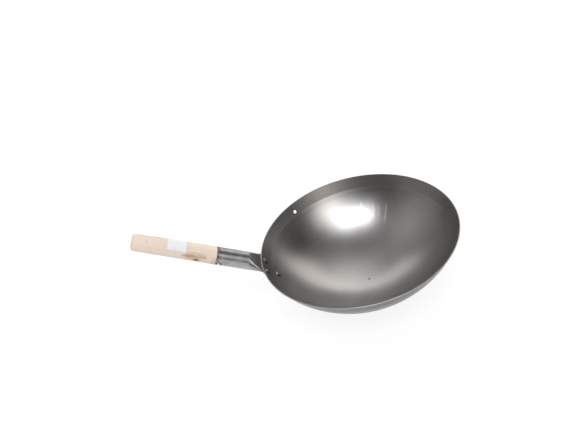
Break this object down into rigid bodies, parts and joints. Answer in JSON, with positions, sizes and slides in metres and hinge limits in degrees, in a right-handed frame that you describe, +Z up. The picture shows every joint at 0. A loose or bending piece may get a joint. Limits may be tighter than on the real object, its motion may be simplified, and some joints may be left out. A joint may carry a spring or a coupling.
{
  "type": "wok",
  "caption": "Round-bottomed carbon steel wok with one long handle: a riveted steel tube socket with a turned wooden grip.",
  "frame": {"origin": "the lowest point of the round bottom, on the bowl's axis", "axes": "+Z up along the bowl's axis, the handle points to -X and rises, the near side is -Y"},
  "size_m": [0.5576, 0.3546, 0.2373],
  "materials": {
    "carbon_steel": "bare spun carbon steel, satin, with fine ring-shaped and radial brush lines",
    "socket_steel": "bare drawn steel tube, satin",
    "rivet_steel": "plain steel, hammered heads",
    "grip_wood": "pale turned hardwood, sanded, unvarnished",
    "nail_steel": "bright wire nail"
  },
  "bodies": {
    "root": {"wok_bowl": "carbon_steel", "handle_socket": "socket_steel", "rivet_upper_far": "rivet_steel", "rivet_upper_near": "rivet_steel", "rivet_lower": "rivet_steel", "wooden_grip": "grip_wood", "socket_nail": "nail_steel"}
  },
  "joints": []
}
